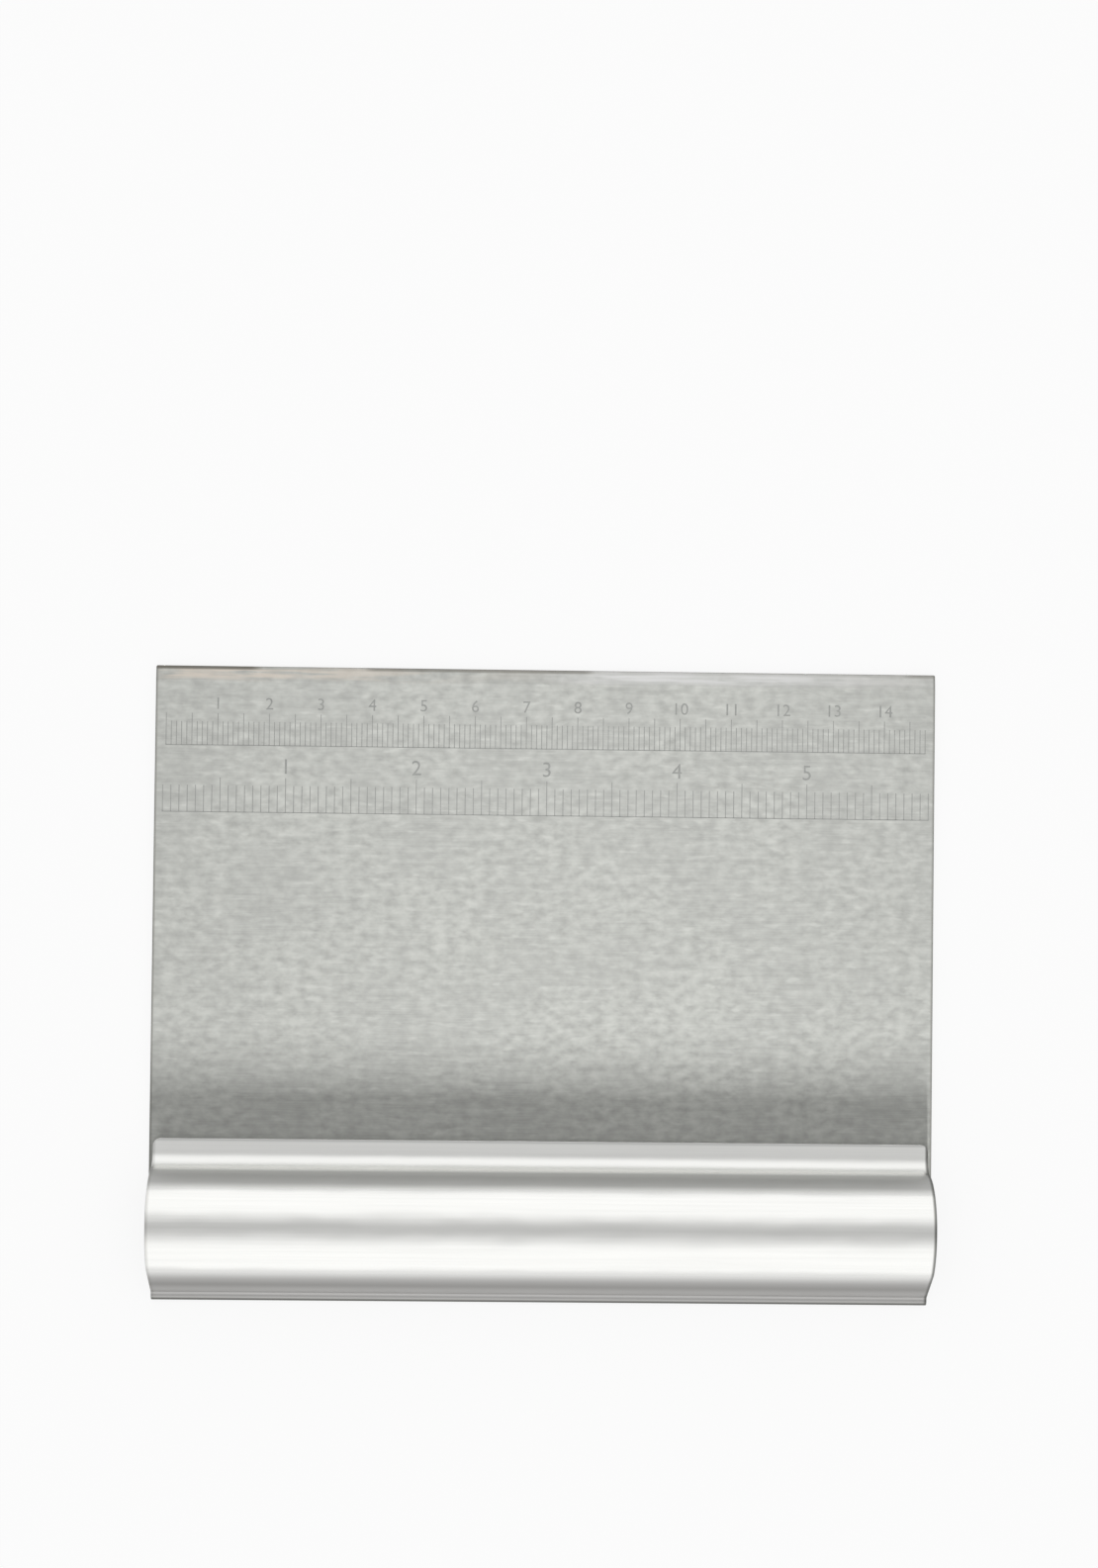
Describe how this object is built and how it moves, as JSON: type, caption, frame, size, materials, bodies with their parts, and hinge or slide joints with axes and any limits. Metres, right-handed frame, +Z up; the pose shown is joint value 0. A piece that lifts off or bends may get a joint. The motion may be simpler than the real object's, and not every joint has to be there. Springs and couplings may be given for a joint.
{
  "type": "pastry scraper",
  "caption": "Flat stainless steel pastry scraper with a straight thinned edge and an etched ruler, its blade spot-welded between the lips of a hollow folded-sheet grip.",
  "frame": {"origin": "under the middle of the scraper, on the surface that its back rests on", "axes": "+X along the cutting edge, +Y from the grip to the cutting edge, +Z up from the flat back to the crest of the grip"},
  "size_m": [0.152, 0.123, 0.0142],
  "materials": {
    "blade_steel": "fine brushed along the cutting edge",
    "grip_steel": "bright polished",
    "weld_steel": "as welded, hidden between the sheets"
  },
  "bodies": {
    "root": {"blade": "blade_steel", "grip": "grip_steel", "spot_weld_1": "weld_steel", "spot_weld_2": "weld_steel", "spot_weld_3": "weld_steel", "spot_weld_4": "weld_steel", "spot_weld_5": "weld_steel", "spot_weld_6": "weld_steel"}
  },
  "joints": []
}
